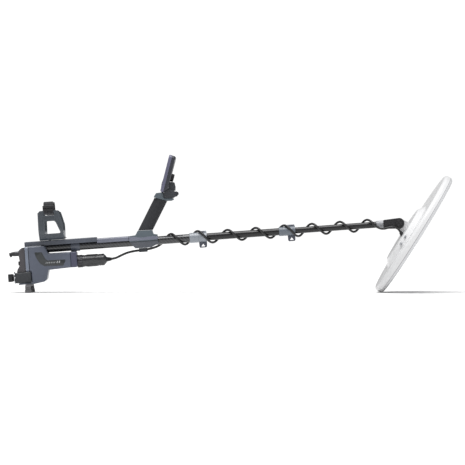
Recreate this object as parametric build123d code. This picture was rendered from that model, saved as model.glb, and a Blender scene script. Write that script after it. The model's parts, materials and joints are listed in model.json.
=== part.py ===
from build123d import *
import math
import os

# Metal detector, millimetres. The shaft frame has X along the shaft towards the coil, Z square to
# it, and its origin on the shaft's axis. Most parts are drawn there, in (s, y, n) = (X, Y, Z).
# The coil and the display panel have frames of their own. The row's frame has Z up, X forward.

# ------------------------------------------------------------------ driving dimensions
SHAFT_SLOPE = 4.12                      # degrees, the shaft rises towards the coil
COIL_SLOPE = 58.0                       # degrees, the coil's plane above the ground at rest
PIVOT_S, PIVOT_N = 446.6, -0.7          # the coil's hinge in the shaft frame
PIVOT_ALONG, PIVOT_UP = 3.0, 49.0       # the same hinge in the coil frame

COIL_LENGTH, COIL_WIDTH, COIL_THICK = 356.0, 330.0, 24.0
SKID_HEIGHT, SKID_ROUND, RIM_ROUND = 8.0, 7.6, 9.0
PLATFORM_UP = 25.5                      # top of the raised middle, above the coil's mid-plane

UPPER_R, UPPER_BORE_R = 11.0, 9.9
MIDDLE_R, MIDDLE_BORE_R = 9.5, 8.5
LOWER_R, LOWER_BORE_R = 8.2, 7.2
SLIDE_GAP, FIT_GAP = 0.1, 0.05
UPPER_END, MIDDLE_END = -66.0, 168.0    # front ends of the two outer tubes

BOX_HALF, BOX_TOP, BOX_WALL = 30.0, 8.0, 2.5
BAY_FRONT, BAY_TOP, BAY_FLOOR = -531.5, -58.3, -87.0
SOCKET_N = -40.0                        # height of the coil socket's axis
RAIL_TOP, RAIL_HALF = 20.8, 17.0
CUFF_HALF, CUFF_WALL = 52.0, 3.6
PANEL_FOOT_S, PANEL_FOOT_N, PANEL_SLOPE = -175.0, 133.0, 71.8
PANEL_HALF, PANEL_LONG = 42.0, 95.5
WINDOW_FROM, WINDOW_TO, WINDOW_HALF = 35.0, 88.0, 34.0
FOOT_Y = 65.0

CABLE_R = 3.0
TURN_POINTS = 12
WINDING_R = 15.0                        # of the route's corners; the lead itself runs 3% inside
WINDING_TOPS = [-157.0, -86.6, -6.9, 67.8, 143.4, 216.8, 291.2, 363.7]
SPAN_ENDS = (-62.0, 130.0, 396.0)       # where one span of the lead hands over to the next
START_TURN, END_TURN = -120.0, 90.0    # degrees before the first top and after the last
LOCK_SWELLS = [(-110.0, -60.0, 17.6), (126.0, 174.0, 16.2)]    # s from, s to, radius over a lock

# ------------------------------------------------------------------ frames
SLOPE = math.radians(SHAFT_SLOPE)
TILT = math.radians(COIL_SLOPE)
RIM_REACH = COIL_LENGTH / 2 - SKID_ROUND
PIVOT_HEIGHT = (
    PIVOT_UP * math.cos(TILT) + PIVOT_ALONG * math.sin(TILT)
    + RIM_REACH * math.sin(TILT) + (COIL_THICK / 2 - SKID_ROUND) * math.cos(TILT) + SKID_ROUND
)
SHAFT_Z = PIVOT_HEIGHT - PIVOT_S * math.sin(SLOPE) - PIVOT_N * math.cos(SLOPE)
SHAFT = Location((0, 0, SHAFT_Z), (0, -SHAFT_SLOPE, 0))
PIVOT = SHAFT * Location((PIVOT_S, 0, PIVOT_N))
COIL = Location(PIVOT.position, (0, -COIL_SLOPE, 0)) * Location((-PIVOT_ALONG, 0, -PIVOT_UP))
PANEL_IN_SHAFT = Location((PANEL_FOOT_S, 0, PANEL_FOOT_N), (0, -PANEL_SLOPE, 0))
PANEL = SHAFT * PANEL_IN_SHAFT
PARTS = {}


# ------------------------------------------------------------------ drawing helpers
def outline(points, radius=0.0):
    """A flat face in the XZ plane with rounded corners."""
    corners = [Vector(x, 0, z) for x, z in points]
    if radius:
        return make_face(FilletPolyline(*corners, radius=radius, close=True))
    return make_face(Polyline(*corners, close=True))


def slab(points, half_width, radius=0.0, y=0.0):
    """A side outline made 2 * half_width thick about the plane Y = y."""
    return Pos(0, y, 0) * extrude(outline(points, radius), half_width, dir=(0, 1, 0), both=True)


def block(low, high, round_edges=0.0):
    size = [b - a for a, b in zip(low, high)]
    middle = [(a + b) / 2 for a, b in zip(low, high)]
    solid = Pos(*middle) * Box(*size)
    if round_edges:
        solid = fillet(solid.edges(), round_edges)
    return solid


def rod(start, end, radius, end_radius=None):
    """A round bar or a cone between two points."""
    axis = Vector(end) - Vector(start)
    base = Plane(origin=start, z_dir=axis)
    far = Plane(origin=end, z_dir=axis)
    if end_radius is None:
        return extrude(base * Circle(radius), axis.length, dir=axis.normalized())
    return loft([base * Circle(radius), far * Circle(end_radius)])


def ring(s0, s1, radius, bore, y=0.0, n=0.0):
    """A round sleeve along the shaft's direction."""
    outer = rod((s0, y, n), (s1, y, n), radius)
    return outer - rod((s0 - 1, y, n), (s1 + 1, y, n), bore)


def tablet(x0, x1, half, z0, z1, corner):
    """A plate in a frame's XY plane with rounded corners."""
    face = Pos((x0 + x1) / 2, 0, z0) * RectangleRounded(x1 - x0, 2 * half, corner)
    return extrude(face, z1 - z0)


def side_edges(solid):
    """The edges round a slab's two flat sides."""
    faces = solid.faces().filter_by(Axis.Y).sort_by(Axis.Y)
    return faces[0].edges() + faces[-1].edges()


def add(frame, node, *solids):
    """Files one sub-part: one solid, or several separate ones."""
    placed = [frame * solid for solid in solids]
    PARTS[node] = placed[0] if len(placed) == 1 else Compound(children=placed)


# ------------------------------------------------------------------ control box
def control_box():
    shell = [
        (-534.6, BOX_TOP), (-492, BOX_TOP), (-483, -13), (-424, -13.6), (-424, -54.5),
        (-485, -57), (-491, -81), (-499, -87), (-524, -91), (-566, -91), (-566, BAY_FLOOR),
        (BAY_FRONT, BAY_FLOOR), (BAY_FRONT, BAY_TOP), (-534.6, BAY_TOP),
    ]
    outer = slab(shell, BOX_HALF)
    top = outer.edges().filter_by(lambda e: e.center().Z > -84 and e.center().X > -534)
    outer = fillet([e for e in top if abs(abs(e.center().Y) - BOX_HALF) < 0.01], 4.5)
    hollow = [
        (-540, 5), (-508, 5), (-505, -14.5), (-488, -16.5), (-426.5, -16.5), (-426.5, -52),
        (-487, -54.5), (-493.5, -79), (-501, -84), (-529, -84.5), (-529, -55.8), (-540, -55.8),
    ]
    outer -= slab(hollow, BOX_HALF - BOX_WALL)
    outer -= rod((-503, 0, 0), (-470, 0, 0), UPPER_R + SLIDE_GAP)
    outer -= rod((-430, 0, SOCKET_N), (-420, 0, SOCKET_N), 9.0)
    add(SHAFT, "control_box_shell", outer)

    cap = block((-424, -BOX_HALF, -54.8), (-408.5, BOX_HALF, -13.8))
    cap = fillet([e for e in cap.edges() if e.center().X > -423], 4.0)
    cap = cap + rod((-409, 0, SOCKET_N), (-398, 0, SOCKET_N), 12.6)
    add(SHAFT, "front_cap", cap - rod((-425, 0, SOCKET_N), (-397, 0, SOCKET_N), 9.0))

    add(SHAFT, "rear_gasket", rear_frame(-536.2, -534.6, 28.6, 6.6))
    add(SHAFT, "rear_bezel", rear_frame(-544.4, -536.2, 30.6, BOX_TOP))

    back = [
        (-544.4, 6.8), (-551, 6.2), (-557.5, 2.4), (-561, -3.5), (-561, -18), (-559.8, -31),
        (-562, -43), (-567, -50), (-569.5, BAY_TOP), (-544.4, BAY_TOP),
    ]
    pod = slab(back, 27.0, 1.5)
    rear = [e for e in side_edges(pod) if e.center().X < -545]
    pod = fillet(rear, 1.3)
    inner = [(-543, 2), (-549, 1), (-554, -3), (-557, -9), (-556.5, -45), (-562, -55), (-543, -55)]
    pod -= slab(inner, 24.0)
    pod -= rod((-572, 0, -34.5), (-550, 0, -34.5), 6.0)
    pod -= rod((-572, 0, -8.6), (-550, 0, -8.6), 6.3)
    add(SHAFT, "rear_panel", pod)

    board = block((-528, 2, -50), (-430, 3.6, -19))
    chips = [block((s, 0.2, n), (s + 12, 1.98, n + 10)) for s, n in ((-515, -42), (-490, -38), (-462, -44))]
    for chip in chips:
        board += chip
    add(SHAFT, "main_board", board)


def rear_frame(s0, s1, half, top):
    """A rounded picture frame round the box's back opening."""
    def plate(half_width, low, high, corner, start, end):
        face = Plane.YZ.offset(start) * Pos(0, (low + high) / 2) * RectangleRounded(
            2 * half_width, high - low, corner)
        return extrude(face, end - start)

    return plate(half, BAY_TOP, top, 6.0, s0, s1) - plate(24.0, -53.5, 2.0, 4.0, s0 - 1, s1 + 1)


def rear_fittings():
    socket = ring(-573, -553, 6.2, 2.0, n=-8.6)
    socket += ring(-563.4, -561.2, 8.0, 2.0, n=-8.6)
    add(SHAFT, "headphone_socket", socket)
    plug = rod((-582, 0, -8.6), (-573, 0, -8.6), 5.2, 6.2) + rod((-588, 0, -8.6), (-582, 0, -8.6), 4.0)
    plug += block((-586.5, -1.5, -16.5), (-581.5, 1.5, -9))
    add(SHAFT, "headphone_cap", plug)
    button = rod((-565.5, 0, -34.5), (-557, 0, -34.5), 5.6)
    button = fillet(button.faces().sort_by(Axis.X)[0].edges(), 1.2)
    add(SHAFT, "power_button", button)


def battery():
    low, high = (-574, -33, -86.4), (-532, 33, -58.8)
    case = block(low, high, 3.0)
    cells = [(s, n) for s in (-563, -543) for n in (-72.6,)]
    for s, n in cells:
        case -= rod((s, -32.0, n), (s, 32.0, n), 9.5)
    add(SHAFT, "battery_case", case)
    add(SHAFT, "battery_cells", *[rod((s, -31.8, n), (s, 31.8, n), 9.2) for s, n in cells])
    axis_n = -71.5
    hoop = Pos(-577.5, 0, axis_n) * Rot(0, 90, 0) * Torus(14.8, 1.4)
    stays = [block((-577.5, y - 1.4, axis_n - 1.4), (-574.05, y + 1.4, axis_n + 1.4)) for y in (-14.8, 14.8)]
    for stay in stays:
        hoop += stay
    add(SHAFT, "battery_lock_ring", hoop)
    knob = rod((-583, 0, axis_n), (-574.2, 0, axis_n), 9.0)
    knob += block((-594.5, -15, axis_n - 10.4), (-582.3, 15, axis_n + 10.4), 2.0)
    add(SHAFT, "battery_lock_knob", knob)


def stand():
    def arch(width, low):
        legs = [(-width, low), (-width, -97), (-width + 14, -91.2), (width - 14, -91.2), (width, -97), (width, low)]
        return [Vector(-540, y, n) for y, n in legs]

    outer = make_face(Polyline(*arch(FOOT_Y + 4, -108), close=True))
    inner = [(-FOOT_Y + 4, -109), (-FOOT_Y + 4, -100), (-44, -95.6), (44, -95.6), (FOOT_Y - 4, -100), (FOOT_Y - 4, -109)]
    gap = make_face(Polyline(*[Vector(-540, y, n) for y, n in inner], close=True))
    frame = extrude(outer, 7.2, dir=(1, 0, 0), both=True) - extrude(gap, 8, dir=(1, 0, 0), both=True)
    frame = frame & block((-547.2, -80, -108), (-532.8, 80, -91.2))
    add(SHAFT, "stand", frame)
    ground = block((-700, -200, -60), (-400, 200, 0))
    feet = []
    for side in (-1, 1):
        y = side * FOOT_Y
        foot = block((-548.2, y - 5.2, -118), (-531.8, y + 5.2, -104.5))
        foot -= block((-547.2, y - 4.0, -108), (-532.8, y + 4.0, -104))
        feet.append(SHAFT * foot - ground)
    add(Location(), "stand_feet", *feet)


# ------------------------------------------------------------------ coil plug
def coil_plug():
    body = rod((-394.7, 0, SOCKET_N), (-338, 0, SOCKET_N), 15.8)
    body += rod((-338, 0, SOCKET_N), (-332, 0, SOCKET_N), 15.0, 9.0)
    body += rod((-397.8, 0, SOCKET_N), (-394, 0, SOCKET_N), 12.4)
    for s in (-389, -352, -346.5):
        body -= ring(s, s + 1.6, 17, 14.9, n=SOCKET_N)
    body += rod((-332.2, 0, SOCKET_N), (-325.5, 0, SOCKET_N), 6.2, 4.2)
    add(SHAFT, "coil_plug", body)
    nut = ring(-408.3, -395, 16.8, 13.0, n=SOCKET_N)
    for turn in range(18):
        angle = math.radians(20 * turn)
        y, n = 17.9 * math.cos(angle), SOCKET_N + 17.9 * math.sin(angle)
        nut -= rod((-405, y, n), (-394, y, n), 1.9)
    add(SHAFT, "plug_ring", nut)


# ------------------------------------------------------------------ rail and cuff
def rail():
    body = block((-544.8, -RAIL_HALF, 8.2), (-353.2, RAIL_HALF, RAIL_TOP))
    body = fillet([e for e in body.edges() if e.center().Z > 20], 2.4)
    body -= rod((-600, 0, 0), (-300, 0, 0), UPPER_R + SLIDE_GAP)
    body -= block((-532, -3.4, 16), (-366, 3.4, 22))
    body -= block((-532, -7.5, 12.8), (-366, 7.5, 17))
    add(SHAFT, "arm_rail", body)
    front = block((-353, -14.6, 4.6), (-269.4, 14.6, 17.0))
    front = fillet([e for e in front.edges() if e.center().Z > 16 and abs(e.center().Y) > 14], 5.0)
    add(SHAFT, "rail_cover", front - rod((-360, 0, 0), (-260, 0, 0), UPPER_R + SLIDE_GAP))
    band = ring(-423.5, -400, 12.6, UPPER_R + SLIDE_GAP)
    band &= block((-430, -20, -14), (-390, 20, 8.0))
    band += block((-423.5, -9, -13.7), (-409, 9, -11.4)) - rod((-430, 0, 0), (-400, 0, 0), UPPER_R + SLIDE_GAP)
    add(SHAFT, "shaft_saddle", band)


def cuff():
    low = RAIL_TOP + 0.4
    outer = FilletPolyline((-478, -CUFF_HALF, 105), (-478, -CUFF_HALF, 43), (-478, -30, low), (-478, 30, low),
                           (-478, CUFF_HALF, 43), (-478, CUFF_HALF, 105), radius=20)
    inner_half = CUFF_HALF - CUFF_WALL
    inner = FilletPolyline((-478, -inner_half, 105), (-478, -inner_half, 45), (-478, -28.5, low + 3.6),
                           (-478, 28.5, low + 3.6), (-478, inner_half, 45), (-478, inner_half, 105), radius=18)
    outer_face = make_face([*outer.edges(), Line(outer @ 0, outer @ 1)])
    inner_face = make_face([*inner.edges(), Line(inner @ 0, inner @ 1)])
    trough = extrude(outer_face - inner_face, 40, dir=(1, 0, 0), both=True)
    wing = [(-503, low - 1), (-426.5, low - 1), (-433.4, 42.7), (-446.2, 93), (-454, 99.3),
            (-496, 99.3), (-502.3, 93.5), (-503, 50)]
    trough &= slab(wing, 60, 1.5)
    window = [(-485.5, 72), (-461, 72), (-456, 67), (-445.5, 40.6), (-447.5, 38.2), (-486.4, 38.2)]
    trough -= slab(window, 60, 1.6)
    for side in (-1, 1):
        trough -= block((-488.5, side * 52 - 6, 86.2), (-458.5, side * 52 + 6, 91.2))
        trough -= cuff_groove(side)
    trough -= rod((-478, 0, 15), (-478, 0, 40), 3.1)
    add(SHAFT, "arm_cuff", trough)

    screw = rod((-478, 0, 13.6), (-478, 0, 27.6), 3.0) + rod((-478, 0, low + 3.6), (-478, 0, 28.0), 6.0)
    screw += block((-486, -7.1, 13.0), (-470, 7.1, 15.8))
    add(SHAFT, "cuff_screw", screw)

    reach = CUFF_HALF + 1.7
    path = [(-reach, 87), (-reach, 110), (-reach + 16, 120.4), (reach - 16, 120.4), (reach, 110), (reach, 87)]
    loop = FilletPolyline(*[Vector(-473, y, n) for y, n in path], radius=8)
    band = sweep(Plane(origin=loop @ 0, z_dir=loop % 0, x_dir=(1, 0, 0)) * Rectangle(24, 2.6), loop)
    add(SHAFT, "cuff_strap", band)
    buckle = block((-487.5, -reach - 4.6, 97.5), (-458.5, -reach - 1.4, 112.5), 1.2)
    buckle -= block((-484.7, -reach - 6, 103.4), (-461.3, -reach - 0, 106.0))
    add(SHAFT, "strap_buckle", buckle)


def cuff_groove(side):
    """The shallow panel sunk into a wing's outer face, which leaves its rim standing."""
    outer = [(-498.5, 44), (-438.5, 44), (-450.5, 88), (-455.5, 94.5), (-494.5, 94.5), (-498.5, 90)]
    keep = [(-490, 76.5), (-458.5, 76.5), (-451, 69), (-440.5, 40), (-490, 40)]
    panel = slab(outer, 2.0, 1.0, side * (CUFF_HALF + 1.0))
    panel -= slab(keep, 3.0, 1.0, side * (CUFF_HALF + 1.0))
    return panel - block((-492, side * 52 - 4, 82), (-455, side * 52 + 4, 96))


# ------------------------------------------------------------------ handle and display
def handle():
    bore = rod((-280, 0, 0), (-180, 0, 0), UPPER_R + SLIDE_GAP)
    upper = [(-269, 16.5), (-250.6, 18.1), (-243.5, 29.4), (-205.4, 28.6), (-203, 18.2),
             (-192.5, 16.1), (-192.5, 1.0), (-267, 1.0)]
    top = slab(upper, 16.5, 1.2)
    top = fillet([e for e in side_edges(top) if e.center().Z > 14], 1.1)
    add(SHAFT, "handle_clamp_upper", top - bore)
    lower = [(-266.6, 0.6), (-192.5, 0.6), (-189.5, -7.5), (-212, -16.9), (-253, -16.9), (-264.3, -3.5)]
    under = slab(lower, 15.5, 1.5)
    under = fillet([e for e in side_edges(under) if e.center().Z < -3], 1.4)
    add(SHAFT, "handle_clamp_lower", under - bore)
    knob = rod((-233, 0, -27.6), (-233, 0, -17.3), 11.6)
    for turn in range(10):
        angle = math.radians(36 * turn)
        s, y = -233 + 13.4 * math.cos(angle), 13.4 * math.sin(angle)
        knob -= rod((s, y, -29), (s, y, -17), 3.4)
    add(SHAFT, "clamp_knob", knob)

    side = [(-246, 29.8), (-203, 28.9), (-158.6, 101.2), (-195, 113.5)]
    lean = Vector(46.0, 0, 77.5)
    section = Plane(origin=(-241.9, 0, -1.7), x_dir=(lean.Z, 0, -lean.X), z_dir=lean) * Ellipse(17.2, 15.0)
    add(SHAFT, "grip", extrude(section, 175, dir=lean.normalized()) & slab(side, 20))

    head = [(-195.6, 114.8), (-188, 125.2), (-172, 126.2), (-169.5, 120), (-169.5, 113), (-166, 109.4),
            (-143.3, 108.4), (-142, 105), (-148, 102.2), (-160.2, 102.4)]
    cap = slab(head, 15.8, 0.8)
    cap = fillet([e for e in side_edges(cap) if e.center().Z > 116], 0.7)
    add(SHAFT, "handle_head", cap)
    barrel = rod((-152, -17, 116), (-152, 17, 116), 17.0)
    lower_cut = [(-168.6, 114.2), (-165.0, 110.4), (-143.3, 109.2), (-135.4, 114), (-134.8, 122), (-140, 129.5),
                 (-151, 133.4), (-162.5, 130.8), (-169, 124)]
    knuckle = barrel & slab(lower_cut, 17)
    knuckle = knuckle - block((-146.5, -7.3, 112.1), (-130, 7.3, 126.4))
    add(SHAFT, "knuckle", knuckle)
    trigger = slab([(-143, 112.5), (-134, 112.5), (-128.6, 118.5), (-129.6, 123.5), (-134, 126), (-143, 126)], 7.0, 1.0)
    add(SHAFT, "trigger", trigger)
    box = slab([(-161, 133), (-136.8, 128), (-135.7, 138), (-137.7, 150), (-157.5, 153.6), (-165, 140)], 15.0, 1.0)
    box -= rod((-152, -20, 116), (-152, 20, 116), 17.3)
    add(SHAFT, "panel_back_box", box - PANEL_IN_SHAFT * block((-10, -60, -18.2), (120, 60, 20)))


def display():
    bezel = tablet(-5, PANEL_LONG, PANEL_HALF, -8.5, 0, 10)
    bezel = fillet(bezel.faces().sort_by(Axis.Z)[-1].edges(), 2.6)
    bezel -= tablet(-2.6, PANEL_LONG - 2.4, PANEL_HALF - 2.4, -9, -2.6, 8)
    bezel -= tablet(WINDOW_FROM, WINDOW_TO, WINDOW_HALF, -3, 1, 3)
    pad_x, key_y = 17.0, 26.0
    bezel -= Pos(pad_x, 0, -4) * Cylinder(11.3, 10)
    for y in (-key_y, key_y):
        bezel -= Pos(pad_x, y, -4) * Cylinder(6.3, 10)
    add(PANEL, "panel_bezel", bezel)
    back = tablet(-4.4, PANEL_LONG - 0.6, PANEL_HALF - 0.6, -18, -8.6, 9.5)
    back = fillet(back.faces().sort_by(Axis.Z)[0].edges(), 4.5)
    back -= tablet(16, PANEL_LONG - 2.4, PANEL_HALF - 2.4, -15.8, -8, 8)
    back = PANEL_IN_SHAFT * back - rod((-152, -60, 116), (-152, 60, 116), 17.3)
    add(SHAFT, "panel_back", back)
    window = tablet(WINDOW_FROM + 0.2, WINDOW_TO - 0.2, WINDOW_HALF - 0.2, -2.4, -0.5, 2.8)
    add(PANEL, "lcd_window", window)
    module = tablet(WINDOW_FROM - 2, WINDOW_TO + 2, WINDOW_HALF + 1, -6.4, -2.8, 2)
    add(PANEL, "lcd_module", module)
    pad = Pos(pad_x, 0, -1.8) * Cylinder(11.0, 6.4)
    pad = fillet(pad.faces().sort_by(Axis.Z)[-1].edges(), 1.2)
    add(PANEL, "direction_pad", pad)
    for name, y in (("menu_key", -key_y), ("back_key", key_y)):
        key = Pos(pad_x, y, -1.9) * Cylinder(6.0, 6.2)
        add(PANEL, name, fillet(key.faces().sort_by(Axis.Z)[-1].edges(), 1.0))
    speaker = Pos(38, 0, -22) * Cylinder(10.5, 7.8)
    speaker = fillet(speaker.faces().sort_by(Axis.Z)[0].edges(), 2.0)
    add(PANEL, "speaker_cap", speaker)


# ------------------------------------------------------------------ shaft tubes and cam locks
def tubes():
    add(SHAFT, "upper_shaft", ring(-502.5, UPPER_END, UPPER_R, UPPER_BORE_R))
    add(SHAFT, "middle_shaft", ring(-225, MIDDLE_END, MIDDLE_R, MIDDLE_BORE_R))
    add(SHAFT, "lower_shaft", ring(0, 424, LOWER_R, LOWER_BORE_R))


def lock_collar(node, s0, s1, s2, back_r, front_r, tube_r, inner_r, tube_end):
    """A collar fixed on the outer tube, with a lip that guides the inner tube and two hinge ears."""
    body = ring(s0, s1, back_r, tube_r + FIT_GAP) + ring(s1, s2, front_r, tube_r + FIT_GAP)
    body += ring(tube_end, s2, front_r, inner_r + SLIDE_GAP)
    body = fillet([e for e in body.edges() if abs(e.center().X - s0) < 0.1][:1], 0.8)
    y, n = hinge_spot(front_r)
    for start in (s1 + 1.0, s2 - 5.0):
        ear = rod((start, y, n), (start + 4.0, y, n), 3.4)
        ear += block((start, y - 6, n - 7), (start + 4.0, y, n)) - rod((s0, 0, 0), (s2, 0, 0), front_r - 0.5)
        ear -= rod((start - 1, y, n), (start + 5, y, n), 1.55)
        body += ear
    add(SHAFT, node, body - rod((s0, 0, 0), (tube_end, 0, 0), tube_r + FIT_GAP))


def hinge_spot(front_r):
    """Where a lever's pin lies: 30 degrees from the top, on the far side."""
    reach = front_r + 3.2
    return reach * math.sin(math.radians(30)), reach * math.cos(math.radians(30))


def lock_lever(node, s1, s2, front_r, drop):
    """A lever hooked round the far side of its collar, ending in a paddle under it."""
    y, n = hinge_spot(front_r)
    inner, outer = front_r + 0.5, front_r + 3.0
    wrap = ring(s1 + 5.4, s2 - 5.4, outer, inner)
    wrap &= block((s1, 0, -outer - 1), (s2, outer + 1, n - 4.5))
    hub = rod((s1 + 5.4, y, n), (s2 - 5.4, y, n), 3.2)
    web = block((s1 + 5.4, y, n - 7), (s2 - 5.4, y + 3.2, n)) - rod((s1, 0, 0), (s2, 0, 0), inner)
    paddle = slab([(s1 + 0.6, -inner - 0.3), (s2 - 0.6, -inner - 0.3), (s2 - 0.8, drop + 3),
                   (s2 - 3, drop), (s1 + 3, drop), (s1 + 0.8, drop + 3)], 1.6)
    middle = (s1 + s2) / 2
    paddle -= slab([(middle - 5, drop + 3.2), (middle + 5, drop + 3.2), (middle, drop + 10)], 4)
    foot = ring(s1 + 0.6, s2 - 0.6, outer, inner) & block((s1, -1.6, -outer - 1), (s2, 6, 0))
    lever = wrap + hub + web + foot + paddle
    lever += rod((s1 + 0.6, y, n), (s2 - 0.6, y, n), 1.5)
    add(SHAFT, node, lever)


# ------------------------------------------------------------------ yoke and coil
def yoke():
    ferrule = ring(387.5, 406, 10.0, LOWER_R + FIT_GAP)
    ferrule = fillet([e for e in ferrule.edges() if abs(e.center().X - 387.5) < 0.1][:1], 1.0)
    add(SHAFT, "shaft_ferrule", ferrule)
    side = [(407.2, -12.8), (407.2, 11.2), (461.2, 14.3), (461.2, -15.5)]
    fork = slab(side, 18.0, [3.0, 3.0, 13.6, 13.6])
    fork = fillet(side_edges(fork), 1.6)
    fork -= block((429.5, -10.8, -30), (480, 10.8, 30))
    fork -= rod((400, 0, 0), (425, 0, 0), LOWER_R + FIT_GAP)
    fork -= rod((PIVOT_S, -30, PIVOT_N), (PIVOT_S, 30, PIVOT_N), 4.1)
    add(SHAFT, "yoke", fork)
    bolt = rod((PIVOT_S, -20, PIVOT_N), (PIVOT_S, 31, PIVOT_N), 4.0)
    head = rod((PIVOT_S, -22.6, PIVOT_N), (PIVOT_S, -18.05, PIVOT_N), 8.2)
    head = fillet(head.faces().sort_by(Axis.Y)[0].edges(), 1.2)
    head -= block((PIVOT_S - 6, -23, PIVOT_N - 0.9), (PIVOT_S + 6, -21.4, PIVOT_N + 0.9))
    add(SHAFT, "coil_bolt", bolt + head)
    washers = []
    for y in (-10.7, 9.1):
        disc = rod((PIVOT_S, y, PIVOT_N), (PIVOT_S, y + 1.6, PIVOT_N), 13.0)
        washers.append(disc - rod((PIVOT_S, y - 1, PIVOT_N), (PIVOT_S, y + 3, PIVOT_N), 4.1))
    add(SHAFT, "friction_washers", *washers)
    nut = rod((PIVOT_S, 18.2, PIVOT_N), (PIVOT_S, 26.5, PIVOT_N), 7.4)
    blade = block((PIVOT_S - 15.5, 20, PIVOT_N - 2.2), (PIVOT_S + 15.5, 28.5, PIVOT_N + 2.2), 1.6)
    nut = nut + blade - rod((PIVOT_S, 10, PIVOT_N), (PIVOT_S, 40, PIVOT_N), 4.05)
    add(SHAFT, "wing_nut", nut)


def disc(long_r, wide_r, z0, z1):
    return extrude(Pos(0, 0, z0) * Ellipse(long_r, wide_r), z1 - z0)


def platform(grow, z_top):
    """The coil's raised middle: an oval that slopes in towards its flat top."""
    def level(x0, x1, half, z):
        return Pos((x0 + x1) / 2, 0, z) * Ellipse((x1 - x0) / 2 + grow, half + grow)

    return loft([level(-118, 88, 106, 6.0), level(-93, 61, 84, z_top)])


def coil():
    a, b, half = COIL_LENGTH / 2, COIL_WIDTH / 2, COIL_THICK / 2
    seam = SKID_HEIGHT - half
    wall = 5.0
    body = disc(a, b, seam, half)
    body = fillet(body.faces().sort_by(Axis.Z)[-1].edges(), RIM_ROUND)
    body += platform(0, PLATFORM_UP)
    lug = slab([(-15, 20), (21, 20), (16.6, 47), (-10.6, 47)], 9.0)
    lug += rod((PIVOT_ALONG, -9, PIVOT_UP), (PIVOT_ALONG, 9, PIVOT_UP), 14.0)
    body += lug
    body -= rod((PIVOT_ALONG, -20, PIVOT_UP), (PIVOT_ALONG, 20, PIVOT_UP), 4.1)
    body -= disc(a - wall, b - wall, seam - 1, half - 3.0)
    body -= platform(-6.0, PLATFORM_UP - 3.0)
    add(COIL, "coil_shell", body)
    skid = disc(a, b, -half, seam)
    skid = fillet(skid.faces().sort_by(Axis.Z)[0].edges(), SKID_ROUND)
    skid -= disc(a - wall, b - wall, -half + 2.5, seam + 1)
    add(COIL, "coil_skid_plate", skid)
    outer = disc(a - 9, b - 9, -3, 5) - disc(a - 17, b - 17, -4, 6)
    inner = disc(82, 74, -3, 5) - disc(74, 66, -4, 6)
    add(COIL, "coil_windings", outer, inner)
    base, mouth = gland_ends()
    gland = rod(base, mouth, 6.6, 4.2)
    add(COIL, "cable_gland", gland & block((-60, -60, PLATFORM_UP), (60, 60, 60)))


def gland_ends():
    """The cable gland's foot and mouth in the coil frame. It leans towards the coil's top end."""
    lean = Vector(0.423, 0, 0.906)
    foot = Vector(-19.0, -20.0, PLATFORM_UP - 2.0)
    return foot, foot + lean * 11.0


# ------------------------------------------------------------------ cable
def swell(s):
    """The winding's radius, which is larger where the lead passes over a cam lock."""
    ramp = 26.0
    radius = WINDING_R
    for start, end, over in LOCK_SWELLS:
        share = min(1.0, (s - start) / ramp + 1.0, (end - s) / ramp + 1.0)
        radius = max(radius, WINDING_R + (over - WINDING_R) * share)
    return radius


def winding():
    """Points round the shaft in the shaft frame, over the top towards -Y, a dozen to a turn."""
    step = 360 / TURN_POINTS
    turns = len(WINDING_TOPS) - 1
    points = []
    count = int((turns * 360 + END_TURN - START_TURN) / step)
    for index in range(count + 1):
        angle = START_TURN + index * step
        turn = min(max(int(math.floor(angle / 360)), 0), turns - 1)
        pitch = WINDING_TOPS[turn + 1] - WINDING_TOPS[turn]
        s = WINDING_TOPS[turn] + pitch * (angle / 360 - turn)
        radius = swell(s)
        points.append((s, -radius * math.sin(math.radians(angle)), radius * math.cos(math.radians(angle))))
    return points


def cable_route():
    """The whole lead in the shaft frame, from the plug's boot to the coil's gland."""
    lead = [
        (-325.5, 0.0, -40.0), (-310.0, 0.0, -40.0), (-293.0, 3.0, -32.6), (-274.0, 9.0, -25.8),
        (-253.0, 14.6, -23.2), (-231.0, 16.4, -22.4), (-210.0, 14.8, -20.0), (-193.0, 11.4, -15.2),
    ]
    foot, mouth = gland_ends()
    to_shaft = SHAFT.inverse() * COIL
    entry = (to_shaft * Location(mouth)).position
    before = (to_shaft * Location(mouth + (mouth - foot).normalized() * 7.7)).position
    tail = [
        (388.8, -16.4, -6.6), (397.0, -18.8, -11.2), (407.6, -22.0, -12.2), (419.5, -23.2, -9.4),
        (430.5, -22.9, -8.6), (438.8, -21.8, -11.4), tuple(before), tuple(entry),
    ]
    return lead + winding() + tail


def corner_radii(points):
    radii = []
    for before, here, after in zip(points, points[1:], points[2:]):
        come, leave = Vector(here) - Vector(before), Vector(after) - Vector(here)
        half_turn = math.radians(come.get_angle(leave)) / 2
        radii.append(0.45 * min(come.length, leave.length) / math.tan(half_turn))
    return radii


def cable_tube(node, points, radii):
    path = FilletPolyline(*points, radius=radii)
    tube = sweep(Plane(origin=path @ 0, z_dir=path % 0) * Circle(CABLE_R), path)
    ideal = math.pi * CABLE_R ** 2 * path.length
    print(f"{node}: {path.length:.0f} mm, least radius {min(radii):.1f}, volume {tube.volume / ideal:.4f} of ideal")
    add(SHAFT, node, tube)


def cables():
    """The lead in four spans, cut at the middle of a run, so that each crosses one joint at most."""
    route = cable_route()
    radii = corner_radii(route)
    cuts = [next(i for i, point in enumerate(route) if point[0] > s) for s in SPAN_ENDS]
    middles = [tuple((Vector(route[cut - 1]) + Vector(route[cut])) / 2) for cut in cuts]
    starts = [route[0], *middles]
    ends = [*middles, route[-1]]
    first = [1, *cuts]
    last = [*cuts, len(route) - 1]
    names = ["cable_lead", "cable_upper_span", "cable_lower_span", "cable_tail"]
    for name, start, end, a, b in zip(names, starts, ends, first, last):
        cable_tube(name, [start, *route[a:b], end], radii[a - 1:b - 1])


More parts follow.
